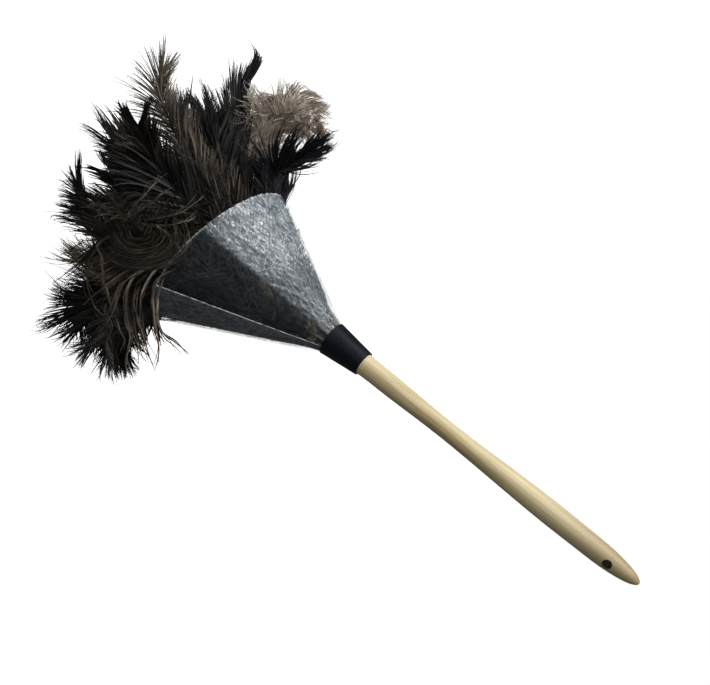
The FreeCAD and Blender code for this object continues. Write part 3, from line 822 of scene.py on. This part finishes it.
def front_arcs(count=38):
    """Barbs of the plume that turns to the front, bent round into nested arcs."""
    rng = np.random.default_rng(SEED + 3)
    parts = Parts()
    look = Plume("arcs", 0, fringe=1.4, fringe_step=0.8)
    u = np.linspace(0, 1, 36)
    for number in range(count):
        share = number / (count - 1)
        radius = (ARC_INNER + ARC_GROWTH * share) * MM
        start, stop = ARC_START + rng.uniform(-14, 14), ARC_STOP + rng.uniform(-26, 26)
        angle = np.radians(start + (stop - start) * u)
        oval = ARC_RIGHT * (ARC_WIDE * radius * np.cos(angle))[:, None]
        oval = oval + ARC_UP * (ARC_HIGH * radius * np.sin(angle))[:, None]
        depth = (-6 + 9 * share ** 2 + rng.uniform(-1, 1)) * MM
        line = ARC_CENTRE + oval + np.array([0, depth, 0]) + wander(rng, u, 5, 0.5 * MM)
        across = flat_to_camera(line, rng)
        half = (rng.uniform(0.28, 0.5) * MM * (1 - 0.5 * u ** 3))[None, :, None]
        tone = np.array([rng.uniform(0.12, 0.46)])
        row, slack = np.array([(number + 0.5) / count * STRAND_ROWS]), 0.3 / count
        add_ribbons(parts, line[None], across, half, tone, row, slack)
        add_barbules(parts, look, rng, line[None], across, tone, row, slack)
    obj = build("front_arcs", parts)
    obj.data.materials.append(FEATHERS["feather_brown"])
    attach(obj, "root")


def loose_strands(stations=40, copies=4):
    """Each strand is a bundle of copies that spread towards its end."""
    rng = np.random.default_rng(SEED + 1)
    parts = Parts()
    total = len(LOOSE_STRANDS) * copies
    u = np.linspace(0, 1, stations)
    look = Plume("loose", 0, fringe=1.2, fringe_step=0.7)
    for number, (path, width) in enumerate(LOOSE_STRANDS):
        points, _ = curve_through(path, stations)
        for copy in range(copies):
            spread = wander(rng, u, 3, copy * 1.3 * MM) * u[:, None]
            line = (points + spread + wander(rng, u, 6, 0.5 * MM))[None]
            half = (width * (0.30 - 0.05 * copy) * MM * (1 - u ** 5 * 0.7))[None, :, None]
            across = flat_to_camera(line[0], rng)
            tone = np.array([0.34 + 0.11 * width - 0.10 * copy + rng.uniform(-0.08, 0.08)])
            row = np.array([(number * copies + copy + 0.5) / total * STRAND_ROWS])
            slack = 0.32 / total
            add_ribbons(parts, line, across, half, tone, row, slack)
            add_barbules(parts, look, rng, line, across, tone, row, slack)
    obj = build("loose_strands", parts)
    obj.data.materials.append(FEATHERS["feather_brown"])
    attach(obj, "root")


# ---- film
FILM_START, FILM_TURN = 14, 420    # degrees: inner edge, and how far it is rolled from there
UNDER_COLLAR = 9 * MM
FOLD_COUNT, FOLD_SLANT, FOLD_PITCH = 16, 0.45, (5, 16)      # pitch in millimetres
FOLD_LEAST, FOLD_ON_REFLECTION_SIDE = 0.35, 1.5    # millimetres deep all over, and more on the side that carries the painted reflection


def film_folds(rng, around, z):
    """Heights of sharp crossing folds over the film, about 0 to 1."""
    folds = np.zeros_like(z)
    for _ in range(FOLD_COUNT):
        slant = rng.normal(0, FOLD_SLANT)
        pitch = rng.uniform(*FOLD_PITCH) * MM
        wave = np.sin(
            2 * np.pi * (around * math.cos(slant) + z * math.sin(slant)) / pitch
            + rng.uniform(0, 7) + 1.5 * np.sin(z / (rng.uniform(14, 30) * MM) + rng.uniform(0, 7))
        )
        folds += (1 - np.abs(wave)) ** 3 * rng.uniform(0.4, 1.0)
    return folds / 4.0


def film_sheet(columns=360, rows=84):
    """One sheet rolled into a cone: it starts under its own last turn and ends on top of it."""
    rng = np.random.default_rng(SEED + 2)
    a = np.linspace(0, FILM_TURN, columns)[:, None]
    t = np.linspace(0, 1, rows)[None, :]
    phi = np.radians(FILM_START - a)
    k = math.tan(RIM_SKEW) * np.cos(phi)
    rim = (RIM_Z - k * (NECK_RADIUS + FILM_SLOPE * MOUTH_Z)) / (1 - k * FILM_SLOPE)
    rim = rim + 0.5 * MM * np.sin(phi * 3 + 1)
    top = MOUTH_Z + UNDER_COLLAR
    z = top + (rim - top) * t
    cone = np.where(
        z > MOUTH_Z,
        NECK_RADIUS - COLLAR_TAPER * (z - MOUTH_Z),
        NECK_RADIUS + FILM_SLOPE * (MOUTH_Z - z),
    )
    free = smooth(MOUTH_Z - z, 2 * MM, 30 * MM)     # 0 where the collar holds it
    outer = smooth(a, 350, 372)                     # 1 where it lies over its own start
    layer = (-0.45 + 0.75 * smooth(a, 0, 360)) * MM + 0.5 * MM * outer * free
    # folds run mostly down the cone, and are deepest on the side where the film carries a painted
    # reflection
    facing = np.degrees(phi) % 360
    painted_light_zone = smooth(facing, 165, 195) * (1 - smooth(facing, 262, 268))
    folds = film_folds(rng, phi * cone, z)
    depth = (FOLD_LEAST + FOLD_ON_REFLECTION_SIDE * painted_light_zone) * MM * free
    radius = cone + layer + (folds - 0.5) * depth
    points = np.stack([radius * np.cos(phi), radius * np.sin(phi), z], axis=-1)
    # it hides most along its edges, which carry a painted highlight, on the side of the painted
    # reflection, where the folds pattern it and it fades towards the collar, and where lapped
    edge = np.maximum(smooth(t, 0.985, 1.0), smooth(a, FILM_TURN - 1.6, FILM_TURN - 0.2))
    reflection_fade = 1 - 0.45 * smooth(z, -352 * MM, -318 * MM)
    haze_and_reflection = 0.02 + 0.13 * outer + painted_light_zone * reflection_fade * (0.17 + 0.37 * folds ** 1.5) + 0.04 * folds
    haze_and_reflection = np.maximum(haze_and_reflection, edge * 0.75)
    index = np.arange(columns * rows).reshape(columns, rows)
    quads = np.stack(
        [index[:-1, :-1], index[:-1, 1:], index[1:, 1:], index[1:, :-1]], axis=-1
    ).reshape(-1, 4)
    across, down = BAKE_EDGE + BAKE_SPAN * a / FILM_TURN, BAKE_EDGE + BAKE_SPAN * t
    uv = np.stack(np.broadcast_arrays(across, down), axis=-1)
    parts = Parts()
    parts.add(points, quads, np.broadcast_to(haze_and_reflection, z.shape), uv)
    obj = build("film_cone", parts)
    solid = obj.modifiers.new("thickness", "SOLIDIFY")
    solid.thickness = 0.2 * MM
    obj.data.materials.append(film_material())
    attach(obj, "root")
    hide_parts("guard_sheet")


def film_material():
    """Clear film: its tone says how much it hides, partly as a painted reflection, and pale
    creases run over that as painted glints.
    """
    mat, nodes, links, shader = new_material("clear_film")
    crinkle = object_noise(nodes, links, 150, 5, (1, 1, 0.34), 1.2)
    add_bump(nodes, links, shader, crinkle, 0.5, 0.0010)
    # a crease runs where the noise crosses its middle
    centred = operate(nodes, links, "SUBTRACT", crinkle, 0.5)
    ridge = operate(nodes, links, "ABSOLUTE", centred.outputs[0])
    # creases hide more and look paler: painted glints caught in the crinkles
    creases = ramp(nodes, links, ridge.outputs[0], [
        (0.0, (1.7, 1.7, 1.7)), (0.03, (1.1, 1.1, 1.1)), (0.12, (0.62, 0.62, 0.62))
    ])
    alpha = operate(nodes, links, "MULTIPLY", tone_attribute(nodes), creases)
    alpha.use_clamp = True
    links.new(alpha.outputs[0], shader.inputs["Alpha"])
    # paler where it hides more: real haze, and the painted reflection and glints
    tint = ramp(nodes, links, alpha.outputs[0], [
        (0.05, (0.22, 0.28, 0.33)), (0.45, (0.47, 0.515, 0.54)), (1.0, (0.90, 0.92, 0.93))
    ])
    links.new(tint, shader.inputs["Base Color"])
    shader.inputs["Roughness"].default_value = 0.14
    return mat


# ---- carried-over parts
def repaint(node, mat):
    """Give a piece that is shown as the CAD made it another material."""
    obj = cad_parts[node]
    for slot in obj.material_slots:
        slot.link = "OBJECT"
        slot.material = mat


def mix_colours(nodes, links, share, first, second):
    node = nodes.new("ShaderNodeMix")
    node.data_type = "RGBA"
    for name, value in (("Factor", share), ("A", first), ("B", second)):
        feed(links, node.inputs[name], value)
    return node.outputs["Result"]


def wood_material():
    """Pale turned wood: long grain, the butt painted darker and browner as painted shade, and the
    bore's wall painted dark, partly end grain and partly painted shade inside the hole.
    """
    mat, nodes, links, shader = new_material("turned_wood")
    grain = object_noise(nodes, links, 1.0, 8, (420, 420, 11), 0.6)
    bands = object_noise(nodes, links, 1.0, 3, (70, 70, 6))
    figure = operate(nodes, links, "MULTIPLY_ADD", grain, 0.55, bands)
    shades = ramp(nodes, links, figure.outputs[0], [
        (0.50, (0.29, 0.20, 0.085)), (0.72, (0.55, 0.44, 0.23)), (0.95, (0.72, 0.62, 0.39))
    ])
    coords = nodes.new("ShaderNodeTexCoord")
    # painted shade: the butt is painted a little darker and browner
    height = nodes.new("ShaderNodeSeparateXYZ")
    links.new(coords.outputs["Object"], height.inputs["Vector"])
    painted_light_zone = nodes.new("ShaderNodeMapRange")
    painted_light_zone.interpolation_type = "SMOOTHSTEP"
    painted_light_zone.inputs["From Min"].default_value = -90 * MM
    painted_light_zone.inputs["From Max"].default_value = 15 * MM
    painted_light_zone.inputs["To Max"].default_value = 0.75
    links.new(height.outputs["Z"], painted_light_zone.inputs["Value"])
    brown = mix_colours(
        nodes, links, painted_light_zone.outputs["Result"], shades, (0.30, 0.225, 0.105, 1)
    )
    # the bore's wall is told by its distance from the hole's centre line, which runs along Y
    flatten = operate(
        nodes, links, "MULTIPLY", coords.outputs["Object"], (1, 0, 1), kind="ShaderNodeVectorMath"
    )
    off_hole = operate(
        nodes, links, "LENGTH", flatten.outputs["Vector"], kind="ShaderNodeVectorMath"
    )
    bore = nodes.new("ShaderNodeMapRange")
    bore.inputs["From Min"].default_value = HOLE_RADIUS + 0.05 * MM
    bore.inputs["From Max"].default_value = HOLE_RADIUS + 0.5 * MM
    links.new(off_hole.outputs["Value"], bore.inputs["Value"])
    # the bore's wall is painted near black: partly end grain, and partly painted shade inside the
    # hole
    wood = mix_colours(nodes, links, bore.outputs["Result"], (0.055, 0.030, 0.012, 1), brown)
    links.new(wood, shader.inputs["Base Color"])
    add_bump(nodes, links, shader, grain, 0.25, 0.0003)
    shader.inputs["Roughness"].default_value = 0.45
    return mat


def vinyl_material():
    mat, nodes, links, shader = new_material("black_vinyl")
    pebble = object_noise(nodes, links, 900, 3)
    smear = object_noise(nodes, links, 60, 4)
    shades = ramp(
        nodes, links, smear, [(0.3, (0.0015, 0.003, 0.006)), (0.75, (0.005, 0.008, 0.014))]
    )
    links.new(shades, shader.inputs["Base Color"])
    add_bump(nodes, links, shader, pebble, 0.25, 0.0003)
    shader.inputs["Roughness"].default_value = 0.42
    shader.inputs["Specular IOR Level"].default_value = 0.15
    return mat


def twine_material():
    mat, nodes, links, shader = new_material("twine")
    fibre = object_noise(nodes, links, 1.0, 5, (900, 900, 2600))
    shades = ramp(nodes, links, fibre, [(0.3, (0.22, 0.16, 0.09)), (0.7, (0.48, 0.39, 0.26))])
    links.new(shades, shader.inputs["Base Color"])
    add_bump(nodes, links, shader, fibre, 0.5, 0.0002)
    shader.inputs["Roughness"].default_value = 0.85
    return mat


grow_feathers()
loose_strands()
front_arcs()
film_sheet()
repaint("handle", wood_material())
repaint("collar", vinyl_material())
twine = twine_material()
for ring in RING_COUNT:
    repaint("binding_" + ring, twine)


# ---- stage, light and camera
FLOOR_Z = -0.95


def make_floor():
    bpy.ops.mesh.primitive_plane_add(size=60, location=(0, 0, FLOOR_Z))
    floor = bpy.context.object
    floor.name = "floor"
    mat, _, _, shader = new_material("pale_floor")
    shader.inputs["Base Color"].default_value = (0.9, 0.9, 0.9, 1)
    shader.inputs["Roughness"].default_value = 0.9
    shader.inputs["Emission Color"].default_value = (1, 1, 1, 1)
    shader.inputs["Emission Strength"].default_value = 1.0
    floor.data.materials.append(mat)
    floor.visible_diffuse = False
    floor.visible_glossy = False


def in_frame(place):
    """A place laid out for the camera, in the frame's own axes."""
    return Matrix.Rotation(HEAD_TURN, 4, "Z") @ Vector(place)


def soft_light(name, place, target, power, size):
    lamp = bpy.data.lights.new(name, "AREA")
    lamp.energy = power
    lamp.size = size
    obj = bpy.data.objects.new(name, lamp)
    obj.location = in_frame(place)
    aim = in_frame(target) - in_frame(place)
    obj.rotation_euler = aim.to_track_quat("-Z", "Y").to_euler()
    bpy.context.scene.collection.objects.link(obj)


def make_world():
    """White behind the object, and a softer light all round it."""
    world = bpy.data.worlds.new("studio")
    bpy.context.scene.world = world
    world.use_nodes = True
    nodes, links = world.node_tree.nodes, world.node_tree.links
    back = nodes["Background"]
    back.inputs["Color"].default_value = (1, 1, 1, 1)
    rays = nodes.new("ShaderNodeLightPath")
    level = nodes.new("ShaderNodeMapRange")
    level.inputs["To Min"].default_value = 0.14
    level.inputs["To Max"].default_value = 1.0
    links.new(rays.outputs["Is Camera Ray"], level.inputs["Value"])
    links.new(level.outputs["Result"], back.inputs["Strength"])


CAMERA_RISE = math.radians(15)
CAMERA_DISTANCE = 0.85
AXIS_DROP = math.radians(38.4)      # how far the handle points below the picture's right
TARGET = (-9.4 * MM, 0, -259.6 * MM)
SENSOR = 36                         # millimetres
FOCAL_SHARE = 1045 / 710            # focal length against the picture's width


def make_camera():
    """A camera in front, a little above, rolled so that the handle runs down to the right."""
    back = Vector((0, -math.cos(CAMERA_RISE), math.sin(CAMERA_RISE)))
    level = Vector((1, 0, 0))
    up = back.cross(level)
    right = up * math.cos(AXIS_DROP) - level * math.sin(AXIS_DROP)
    top = -up * math.sin(AXIS_DROP) - level * math.cos(AXIS_DROP)
    cam = bpy.data.cameras.new("camera")
    cam.sensor_width = SENSOR
    cam.lens = SENSOR * FOCAL_SHARE
    obj = bpy.data.objects.new("camera", cam)
    aimed = Matrix((right, top, back)).transposed().to_4x4()
    aimed.translation = Vector(TARGET) + back * CAMERA_DISTANCE
    obj.matrix_world = Matrix.Rotation(HEAD_TURN, 4, "Z") @ aimed
    bpy.context.scene.collection.objects.link(obj)
    bpy.context.scene.camera = obj


make_floor()
make_world()
soft_light("key", (-1.3, -0.6, 0.25), (0, 0, -0.3), 27, 1.2)
soft_light("front", (-0.5, -1.7, 0.1), (0, 0, -0.3), 6, 0.8)
make_camera()
bpy.context.scene.view_settings.view_transform = "Standard"
